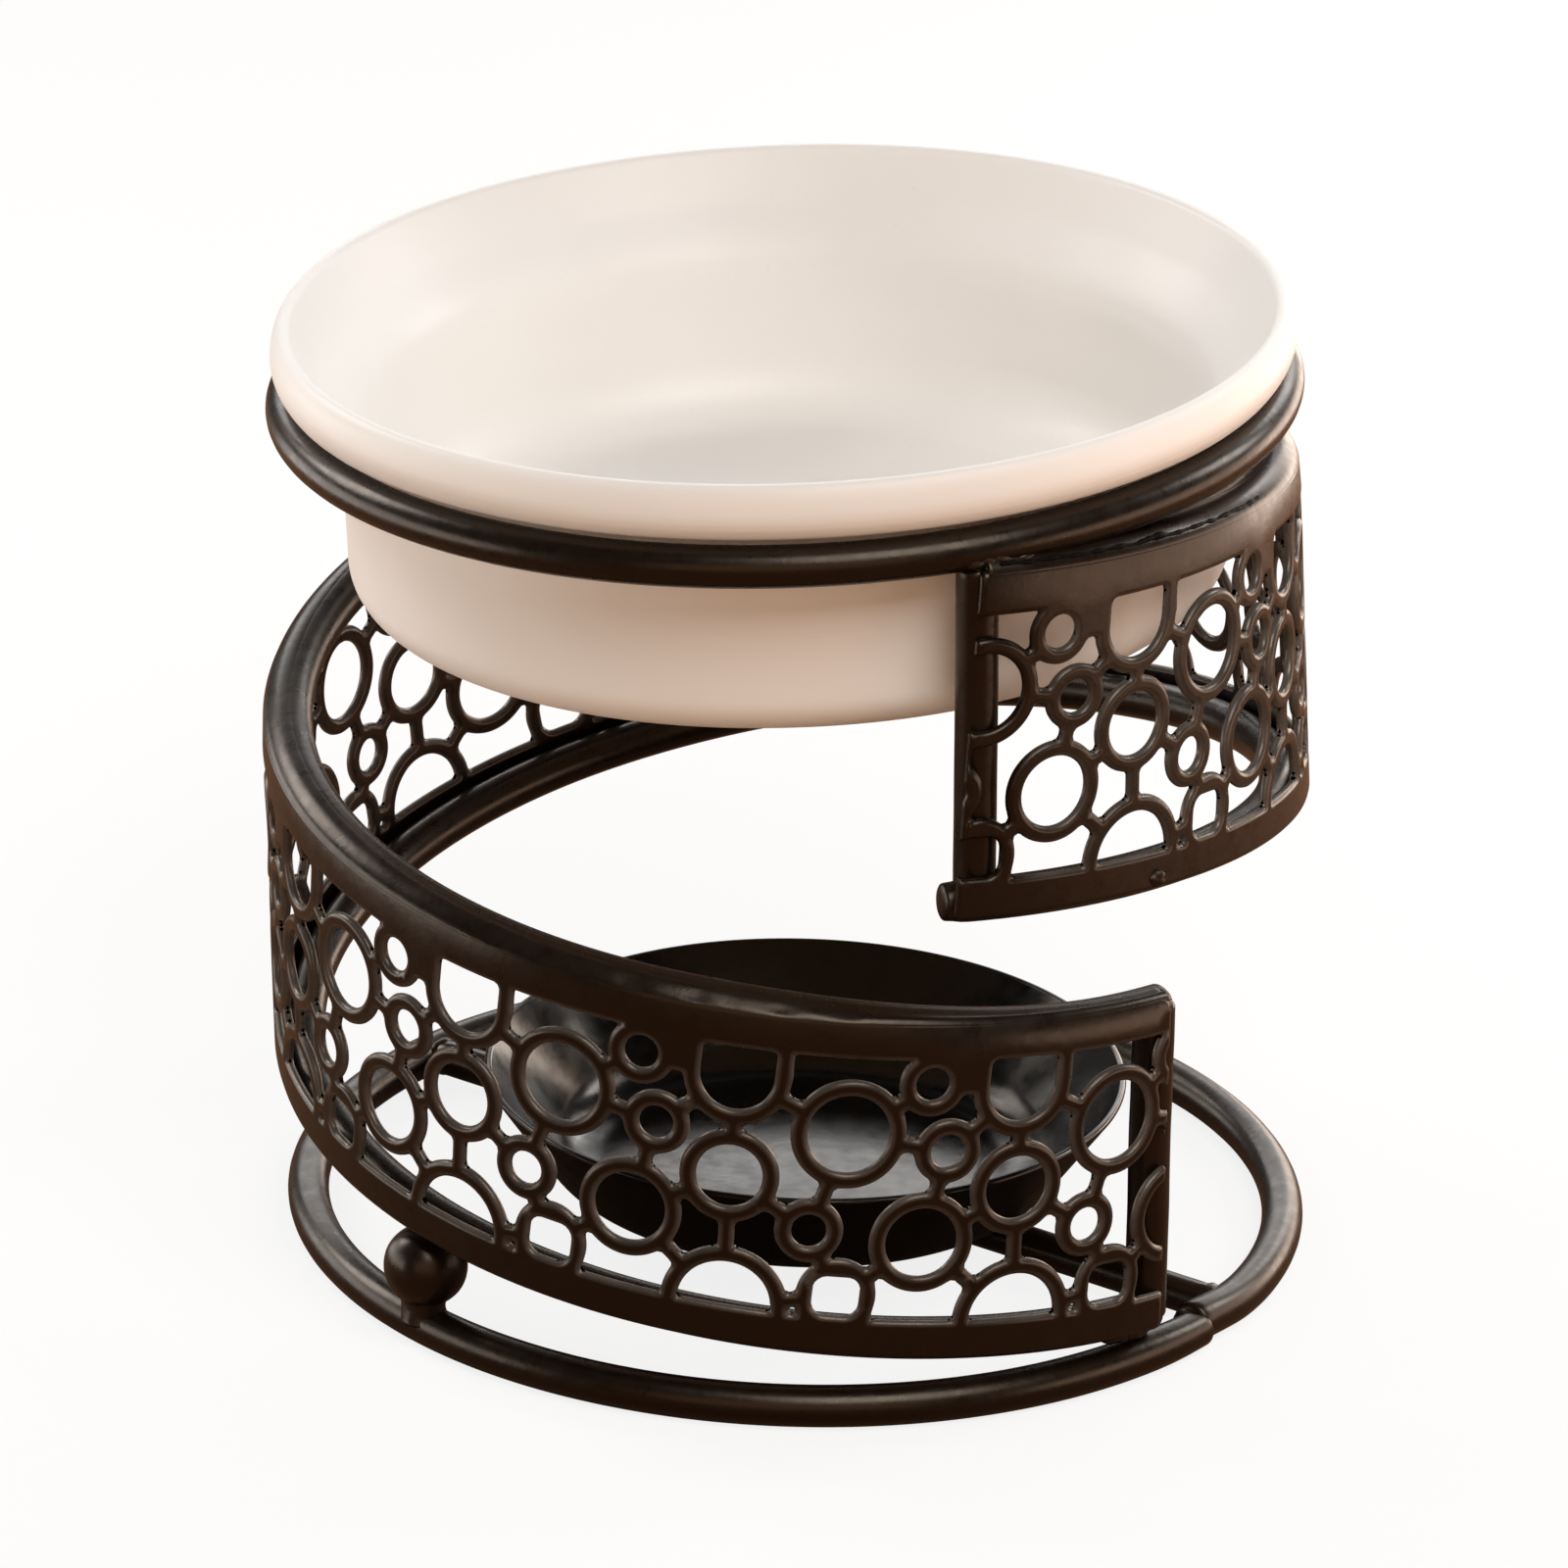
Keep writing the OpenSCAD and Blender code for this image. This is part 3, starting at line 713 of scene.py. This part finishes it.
def over_edge(turn, dip):
    """Outline of the paint from the sheet's top edge on to its wire: radius and height at each turn."""
    high = top_wire_height(turn) + WIRE

    def place(r, v):
        return np.stack([r + 0 * turn, v + 0 * turn], -1)

    def face(v, under):
        return place(STRIP_R - curl(turn, v) - under, v)

    seam = place(STRIP_R - curl(turn, STRIP_H) - 0.4 - dip, seam_height(turn) - dip)
    outside = smooth_line([face(STRIP_H - 1.0, 0.1), face(STRIP_H - 0.4, 0.06), seam,
                           place(EDGE_R + 1.7, high - 0.3 - 0.5 * dip), place(EDGE_R + 0.5, high + 0.02),
                           place(EDGE_R - 0.5, high - 0.15)], 4)
    inside = np.array([place(EDGE_R + 0.4, high - 1.2), place(EDGE_R + 1.9, STRIP_H - 1.4)])
    return np.concatenate([outside, inside])


def seam_paint():
    """Paint along the strip's top edge, worn into a shallow groove on the front."""
    turn = np.linspace(-2.6, UPPER_END[1] - 0.8, 760)
    worn = ease(turn, 28, 40) * (1 - ease(turn, 66, 90))
    outline = over_edge(turn, worn * (0.12 + 0.05 * waves(np.radians(turn) * 22, 5, 2)))
    lines = [beside_strip(turn, r, v) for r, v in zip(outline[:, :, 0], outline[:, :, 1])]
    return np.stack(lines, 1).reshape(-1, 3), capped(len(turn), len(lines))


def crack_shade():
    """Dark jagged line where the seam's paint is cracked open, near the upper end: a dull black tube that
    paints the shade inside the crack.
    """
    turn = np.linspace(338.0, UPPER_END[1] - 2.5, 420)
    x = np.radians(turn)
    notch = np.exp(-((turn - 359) / 1.6) ** 2)
    size = 0.24 + 0.06 * np.clip(waves(x * 40, 15, 3), -1, 1) + 0.12 * notch
    v = seam_height(turn) + 0.06 * waves(x * 26, 16, 2) + 0.25 * notch
    path = beside_strip(turn, STRIP_R - curl(turn, STRIP_H) - 0.42, v)
    return tube(path, *strip_frame(turn), size, sides=14, tip_rings=3)


piece("seam_paint", *seam_paint(), BROWN)
# the crack's tube is painted shade: a dull black line in place of the dark opening of a real crack in the
# seam's paint
piece("seam_crack_shade", *crack_shade(), SHADE_BLACK)


# Rings and cross bar

def level_way(degrees):
    """Unit vector in the level, at an angle from +X."""
    return np.array([math.cos(math.radians(degrees)), math.sin(math.radians(degrees)), 0.0])


def base_ring():
    """One wire bent round, its two ends meeting at the cross bar's end."""
    joint = math.radians(BAR_ANGLE - 1.5)
    turn = np.linspace(joint, joint + 2 * math.pi, 420)
    run = np.degrees(turn - turn[0])
    left = np.degrees(turn[-1] - turn)
    r = BASE_R + 0.05 * waves(turn, 41, 2) - 0.55 * np.exp(-(run / 6) ** 2) + 0.1 * np.exp(-(left / 8) ** 2)
    z = BASE_Z + 0.45 * np.exp(-(run / 7) ** 2) - 0.1 * np.exp(-(left / 7) ** 2)
    wire = WIRE + 0.06 * np.exp(-(run / 4) ** 2) - 0.18 * np.exp(-(left / 5) ** 2)
    path = np.stack([BASE_X + r * np.cos(turn), r * np.sin(turn), z], -1)
    across = np.stack([np.cos(turn), np.sin(turn), 0 * turn], -1)
    up = np.repeat([[0.0, 0.0, 1.0]], len(turn), 0)
    points, faces = tube(path, across, up, wire, sides=32, tips=(0.35, 0.3))
    points[:, 2] = np.maximum(points[:, 2], 0.0)
    return points, faces


bar_way, bar_side = level_way(BAR_ANGLE), level_way(BAR_ANGLE + 90)
bar_mid = np.array([BASE_X, 0, BAR_Z]) + BAR_OFFSET * bar_side
bar_half = math.sqrt(BASE_R ** 2 - BAR_OFFSET ** 2) - WIRE + 0.3


def cross_bar():
    """Thin wire across the base ring, not quite straight."""
    s = np.linspace(-bar_half, bar_half, 80)
    path = bar_mid + s[:, None] * bar_way + 0.06 * waves(s / 18, 3)[:, None] * bar_side
    up = np.repeat([[0.0, 0.0, 1.0]], len(s), 0)
    return tube(path, np.repeat([bar_side], len(s), 0), up, BAR_R, tips=(0.3, 0.3))


piece("base_wire_ring", *base_ring(), BROWN, stands_for=("base_ring",))
ring_points, ring_faces = ring_tube(BOWL_RING_R, WIRE, wobble=0.03, seed=5)
piece("bowl_wire_ring", leaned(ring_points, SEAT, SEAT_LEAN), ring_faces, BROWN, stands_for=("bowl_ring",))
piece("dish_bar", *cross_bar(), BROWN, stands_for=("cross_bar",))


# Bowl, with heights from the middle of its ring

BODY_R, BOWL_DEEP, BOWL_T = 52.5, 24.0, 3.2
RIM_R, RIM_H, LIP = 60.6, 9.8, 1.1
BOWL_GAP = 0.05             # keeps the bowl a hair off its ring


def bowl_profile():
    """Outline of the bowl from the middle of its underside, up the outside and down the inside."""
    under = [(r, -BOWL_DEEP) for r in np.linspace(3, BODY_R - 8, 12)]
    foot = arc((BODY_R - 5.0, -BOWL_DEEP + 5.0), 5.0, -90, -2, 16)
    outside = smooth_line([(BODY_R, -17.0), (BODY_R + 0.1, -12.0), (BODY_R + 0.4, -5.2), (BODY_R + 0.8, -2.6),
                           (BODY_R + 1.9, -0.1), (BODY_R + 3.6, 1.75), (BOWL_RING_R - 1.2, WIRE + 0.15),
                           (BOWL_RING_R + 0.3, WIRE + 0.75), (RIM_R - 0.5, 4.4), (RIM_R - 0.1, 5.4)], 5)
    # the rim's outer side is a tall oval, its inner side the lip's own rounding
    crest = RIM_R - 1.6
    oval = arc((0, 0), 1.0, 4, 90, 14) * (1.6, RIM_H - 6.0) + (crest, 6.0)
    lip = arc((crest, RIM_H - LIP), LIP, 100, 150, 6)
    inside = smooth_line([(RIM_R - 5.2, 4.4), (BODY_R - 1.0, -0.4), (BODY_R - 2.2, -2.9),
                          (BODY_R - 2.7, -5.0), (BODY_R - 3.2, -9.0)], 5)
    floor_r, floor_z = BODY_R - BOWL_T - 8.6, -BOWL_DEEP + BOWL_T
    bend = arc((floor_r, floor_z + 8.0), 8.0, 0, -90, 16)
    middle = [(r, floor_z) for r in np.linspace(floor_r - 3, 3, 12)]
    return np.vstack([(0, -BOWL_DEEP), under, foot, outside, oval, lip, inside, bend, middle, (0, floor_z)])


def bowl_wave(turn, r, z):
    """The bowl is slightly out of true towards its rim."""
    rim = np.clip((z + 2) / 12, 0, 1)
    return 0.1 * rim * waves(turn, 77, 2, 4) * (r > 45), 0.1 * rim * waves(turn, 78, 2, 4)


bowl_points, bowl_faces = lathe(bowl_profile(), 224, bowl_wave)
bowl_points[:, 2] += BOWL_GAP
piece("glazed_bowl", leaned(bowl_points, SEAT, SEAT_LEAN), bowl_faces, GLAZE, body="bowl", slot="glaze",
      stands_for=("ceramic_bowl",))


# Candle dish

def dish_profile():
    """Outline of the dish: flat floor, bend, straight wall and rounded lip."""
    flat, rim, high, sheet, bend, wall = 24.3, 39.0, 14.7, 1.0, 9.3, -35
    lip = sheet / 2
    return np.vstack([
        (0, 0), [(r, 0) for r in np.linspace(3, flat - 1, 10)],
        arc((flat, bend), bend, -90, wall, 18),
        arc((rim - lip, high - lip), lip, wall, wall + 180, 10),
        arc((flat, bend), bend - sheet, wall, -90, 18),
        [(r, sheet) for r in np.linspace(flat - 1, 3, 10)], (0, sheet)])


dish_points, dish_faces = lathe(dish_profile(), 192)
dish = piece("tealight_dish", dish_points + np.array(DISH), dish_faces, BLACK, slot="dish_paint",
             stands_for=("candle_dish",))
# faces that look down take the duller paint, as painted shade in place of the shadowed floor they would
# otherwise reflect
dish.data.materials.append(SHADE_BLACK)
for face in dish.data.polygons:
    face.material_index = int(face.normal.z < -0.2)


# Ball and welds

def weld(name, shape, stands_for):
    """A painted weld made of points and faces."""
    piece(name, *shape, WELD, slot="weld_paint", stands_for=(stands_for,))


def collar(at, low, waist, high, tall, seed, sides=28):
    """An upright weld neck, wider at both ends."""
    f = np.linspace(0, 1, 12)[:, None]
    r = waist + (low - waist) * (1 - f) ** 3 + (high - waist) * f ** 3
    turn = np.arange(sides) * 2 * math.pi / sides
    r = r * (1 + 0.08 * np.sin(3 * turn + 5 * f + seed))
    points = np.stack([r * np.cos(turn), r * np.sin(turn), f * tall + 0 * turn], -1)
    return points.reshape(-1, 3) + np.asarray(at), capped(len(f), sides)


def bead(turns, r, v, size, seed):
    """A row of lumps beside the strip."""
    rng = np.random.default_rng(seed)
    parts = []
    for k, turn in enumerate(turns):
        at = beside_strip([turn], r, v)[0]
        angle = -math.radians(START + turn)
        way = (math.sin(angle), -math.cos(angle), 0.13)
        s = size * rng.uniform(0.85, 1.15)
        parts.append(blob(at, (1.5 * s, s, s), seed + k, axis_x=way, rough=0.1))
    return joined(parts)


def bar_blobs(reach, lift, radii, seed, rough=0.12):
    """A blob on each half of the cross bar."""
    return joined([blob(bar_mid + side * reach * bar_way + np.array([0, 0, lift]), radii, seed + side,
                        axis_x=bar_way, rough=rough) for side in (-1, 1)])


ball_at = BASE_R * level_way(BALL_ANGLE) + np.array([BASE_X, 0, RING_TOP + 0.2 + BALL_R])
piece("ball", *blob(ball_at, (BALL_R, BALL_R, BALL_R), 51, rough=0.006, rings=40, sides=64), BROWN,
      stands_for=("spacer_ball",))
weld("ball_neck", collar(ball_at - np.array([0, 0, BALL_R + 1.9]), 3.0, 2.5, 3.1, 3.4, 2), "spacer_ball_weld")

JOINT_ANGLE = BAR_ANGLE - 2
joint_at = BASE_R * level_way(JOINT_ANGLE) + np.array([BASE_X - 0.5, 0.4, BASE_Z + 0.1])
weld("ring_joint_weld", blob(joint_at, (2.2, 2.2, 2.3), 61, axis_x=level_way(JOINT_ANGLE + 90), rough=0.04),
     "base_ring_weld")
weld("bar_end_welds", bar_blobs(bar_half + 0.2, 0.0, (1.5, 2.5, 2.4), 63, rough=0.07), "cross_bar_welds")
weld("dish_tacks", bar_blobs(22.0, BAR_R - 0.4, (1.6, 1.3, 1.15), 71), "dish_tack_welds")
weld("bowl_ring_bead", bead(np.linspace(SWEEP - 9.5, SWEEP - 3.5, 5), STRIP_R - 2.2, STRIP_H + 0.5, 1.2, 81),
     "bowl_ring_weld")
weld("strip_foot_bead", bead(np.linspace(1.2, 5.2, 6), STRIP_R - 2.3, -0.1, 1.15, 91), "strip_foot_weld")
tack_at = beside_strip([360.3], STRIP_R - 0.2, 1.6)[0]
weld("strip_tack", blob(tack_at, (1.25, 0.9, 1.0), 95), "strip_tack_weld")


# Floor, light and camera, with places in metres

def floor():
    """Pale floor, near white to the camera; metal and the bowl's underside see it as a warm table."""
    mesh = bpy.data.meshes.new("floor")
    s = 3.0
    mesh.from_pydata([(-s, -s, 0), (s, -s, 0), (s, s, 0), (-s, s, 0)], [], [(0, 1, 2, 3)])
    obj = bpy.data.objects.new("floor", mesh)
    bpy.context.scene.collection.objects.link(obj)
    obj.location.z = -0.0001
    material, tree, shader = new_material("pale_floor")
    shader.inputs["Roughness"].default_value = 0.9
    shader.inputs["Specular IOR Level"].default_value = 0.0
    ray = node(tree, "ShaderNodeLightPath").outputs
    colour = mix_colour(tree, ray["Is Glossy Ray"], (0.46, 0.305, 0.2), (0.25, 0.12, 0.055))
    colour = mix_colour(tree, ray["Is Camera Ray"], colour, (0.9, 0.89, 0.87))
    tree.links.new(colour, shader.inputs["Base Color"])
    # share of plain white that is mixed in, so that the background is white but keeps the shadow
    mirrored = maths(tree, "MAXIMUM", ray["Is Glossy Ray"], ray["Is Transmission Ray"])
    share = maths(tree, "MAXIMUM", maths(tree, "MULTIPLY", ray["Is Camera Ray"], 0.84),
                  maths(tree, "MULTIPLY", mirrored, 0.02))
    white = node(tree, "ShaderNodeEmission", {"Color": (1, 1, 1, 1)})
    mix = node(tree, "ShaderNodeMixShader")
    tree.links.new(share, mix.inputs[0])
    tree.links.new(shader.outputs[0], mix.inputs[1])
    tree.links.new(white.outputs[0], mix.inputs[2])
    tree.links.new(mix.outputs[0], tree.nodes["Material Output"].inputs["Surface"])
    mesh.materials.append(material)


def sky():
    """Soft light all round, stronger from behind, as from wide windows there."""
    world = bpy.data.worlds.new("studio")
    bpy.context.scene.world = world
    world.use_nodes = True
    tree = world.node_tree
    way = node(tree, "ShaderNodeSeparateXYZ")
    tree.links.new(node(tree, "ShaderNodeTexCoord").outputs["Generated"], way.inputs[0])
    behind = ramp(tree, way.outputs["Y"], -0.1, 0.8, 0.0, 0.12, interpolation_type="SMOOTHSTEP")
    above = ramp(tree, way.outputs["Z"], -0.05, 0.2, 0.0, 1.0, interpolation_type="SMOOTHSTEP")
    shader = tree.nodes["Background"]
    shader.inputs["Color"].default_value = (1.0, 0.975, 0.945, 1)
    strength = maths(tree, "ADD", maths(tree, "MULTIPLY", behind, above), 0.06)
    tree.links.new(strength, shader.inputs["Strength"])


def lamp(name, at, aim, size, power, colour):
    """Rectangular lamp that looks at a point and isn't seen itself."""
    data = bpy.data.lights.new(name, "AREA")
    data.shape = "RECTANGLE"
    data.size, data.size_y = size
    data.energy = power
    data.color = colour
    obj = bpy.data.objects.new(name, data)
    bpy.context.scene.collection.objects.link(obj)
    obj.location = at
    obj.rotation_euler = (Vector(aim) - Vector(at)).to_track_quat("-Z", "Y").to_euler()
    obj.visible_camera = False


floor()
sky()
lamp("left_low", (-0.36, 0.05, 0.07), (0, 0.05, 0.09), (0.55, 0.14), 0.75, (1.0, 0.99, 0.97))
lamp("right_low", (0.36, 0.0, 0.07), (0, 0.0, 0.09), (0.6, 0.14), 0.65, (1.0, 0.75, 0.62))
lamp("right_back_low", (0.3, 0.38, 0.07), (0, 0, 0.09), (0.4, 0.14), 0.8, (1.0, 0.85, 0.74))
lamp("left_window", (-0.65, 0.4, 0.55), (0, 0, 0.09), (0.35, 0.35), 3.2, (1.0, 0.96, 0.94))
lamp("right_window", (0.7, 0.36, 0.52), (0, 0, 0.09), (0.25, 0.25), 2.1, (1.0, 1.0, 1.0))
lamp("right_back", (0.45, 0.8, 0.5), (0, 0, 0.08), (0.3, 0.3), 0.8, (1.0, 0.98, 0.96))
lamp("back_window", (0.0, 2.4, 1.05), (0, 0, 0.08), (2.8, 0.8), 21.0, (1.0, 1.0, 1.0))
lamp("front_warm", (0.25, -0.55, 0.8), (0, 0, 0.06), (0.6, 0.5), 5.8, (1.0, 0.96, 0.93))
lamp("front_low", (0.0, -0.9, 0.3), (0, 0, 0.07), (1.0, 0.5), 1.3, (1.0, 0.6, 0.36))

ELEVATION, ROLL, DISTANCE = math.radians(22.55), math.radians(1.8), 1.19
SENSOR, LENS = 36.0, 227.403                # in millimetres, as Blender has them
AIM = Vector((0.001 * (BASE_X - 2.99), 0.0, 0.0561))
back = Vector((0, -math.cos(ELEVATION), math.sin(ELEVATION)))
level_up = Vector((0, math.sin(ELEVATION), math.cos(ELEVATION)))
right = math.cos(ROLL) * Vector((1, 0, 0)) + math.sin(ROLL) * level_up
up = -math.sin(ROLL) * Vector((1, 0, 0)) + math.cos(ROLL) * level_up
camera_data = bpy.data.cameras.new("camera")
camera_data.sensor_width, camera_data.lens = SENSOR, LENS
camera_data.clip_start, camera_data.clip_end = 0.05, 20.0
camera = bpy.data.objects.new("camera", camera_data)
bpy.context.scene.collection.objects.link(camera)
turned = Matrix((right, up, back)).transposed().to_4x4()
camera.matrix_world = Matrix.Translation(AIM + back * DISTANCE) @ turned
bpy.context.scene.camera = camera
bpy.context.scene.view_settings.view_transform = "Standard"
